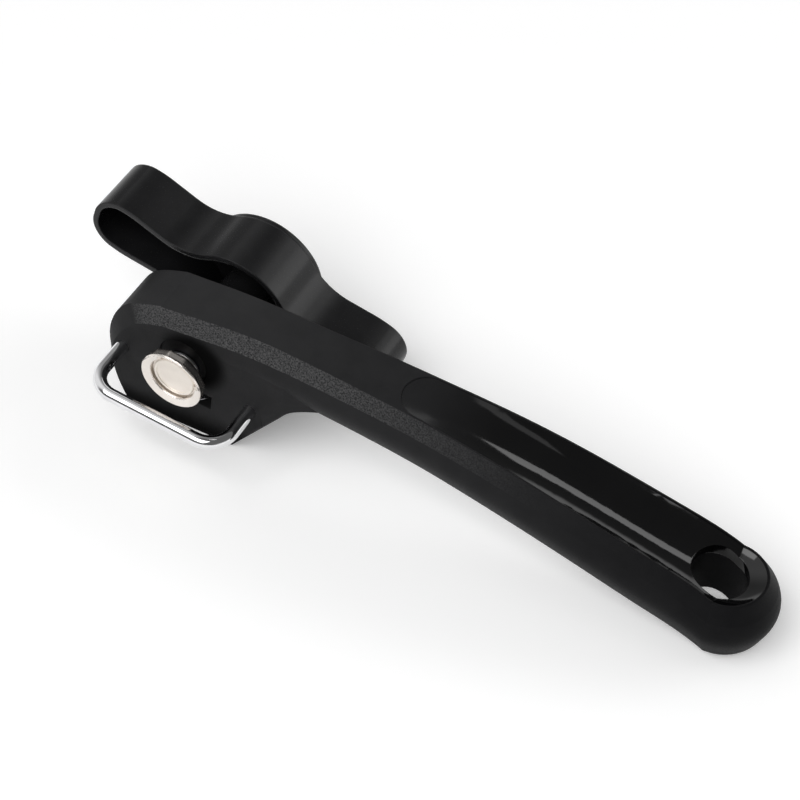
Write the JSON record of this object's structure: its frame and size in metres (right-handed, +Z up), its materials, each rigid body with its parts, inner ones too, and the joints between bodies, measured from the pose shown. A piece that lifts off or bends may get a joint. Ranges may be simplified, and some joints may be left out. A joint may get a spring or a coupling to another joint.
{
  "type": "manual can opener",
  "caption": "Hand can opener with an arched grip, bow-tie turning knob, toothed drive wheel, wire guide loop and a flat cutting wheel that cuts the can below its rim.",
  "frame": {"origin": "under the middle of the whole opener's bounding box, on the surface it lies on", "axes": "+X along the grip from head to tail, +Y from the drive wheel to the knob, +Z up"},
  "size_m": [0.1958, 0.0576, 0.0424],
  "materials": {
    "grip_plastic": "fine-grained black moulding",
    "gloss_inlay": "polished black moulding",
    "knob_plastic": "satin black moulding",
    "bush_plastic": "smooth black acetal",
    "chrome_wire": "bright chrome plate on steel wire",
    "chrome_wheel": "bright chrome plate",
    "satin_steel": "satin nickel plate",
    "blade_steel": "ground tool steel",
    "zinc_steel": "bright zinc plate",
    "cover_steel": "pressed steel sheet",
    "bearing_bronze": "sintered bronze",
    "brass": "turned brass"
  },
  "bodies": {
    "handle": {"handle_body": "grip_plastic", "grip_inlay": "gloss_inlay", "guide_loop": "chrome_wire", "loop_nuts": "zinc_steel", "bearing_sleeve": "bearing_bronze", "stop_pin": "zinc_steel", "rear_cover": "cover_steel", "cover_screws": "zinc_steel", "cutter_axle": "zinc_steel", "axle_insert": "brass", "cutter_washers": "zinc_steel"},
    "eccentric": {"eccentric_bush": "bush_plastic", "shaft_liner": "bearing_bronze"},
    "drive": {"drive_shaft": "satin_steel", "drive_wheel": "chrome_wheel", "thrust_washer": "zinc_steel", "drag_spring": "zinc_steel", "shaft_clip": "zinc_steel", "knob": "knob_plastic", "knob_washer": "zinc_steel", "knob_screw": "zinc_steel", "knob_cap": "knob_plastic"},
    "cutter": {"cutting_wheel": "blade_steel", "cutter_bush": "bearing_bronze"}
  },
  "joints": [
    {"name": "eccentric_turn", "type": "hinge", "parent": "handle", "child": "eccentric", "pos_m": [-0.05689, -0.00332, 0.0242], "axis": [0, 1, 0], "range_deg": [0, 150]},
    {"name": "knob_turn", "type": "hinge", "parent": "eccentric", "child": "drive", "pos_m": [-0.05689, -0.00332, 0.0226], "axis": [0, 1, 0], "continuous": true},
    {"name": "cutter_spin", "type": "hinge", "parent": "handle", "child": "cutter", "pos_m": [-0.05792, -0.00702, 0.01361], "axis": [0.1132, 0, 0.9936], "continuous": true}
  ]
}
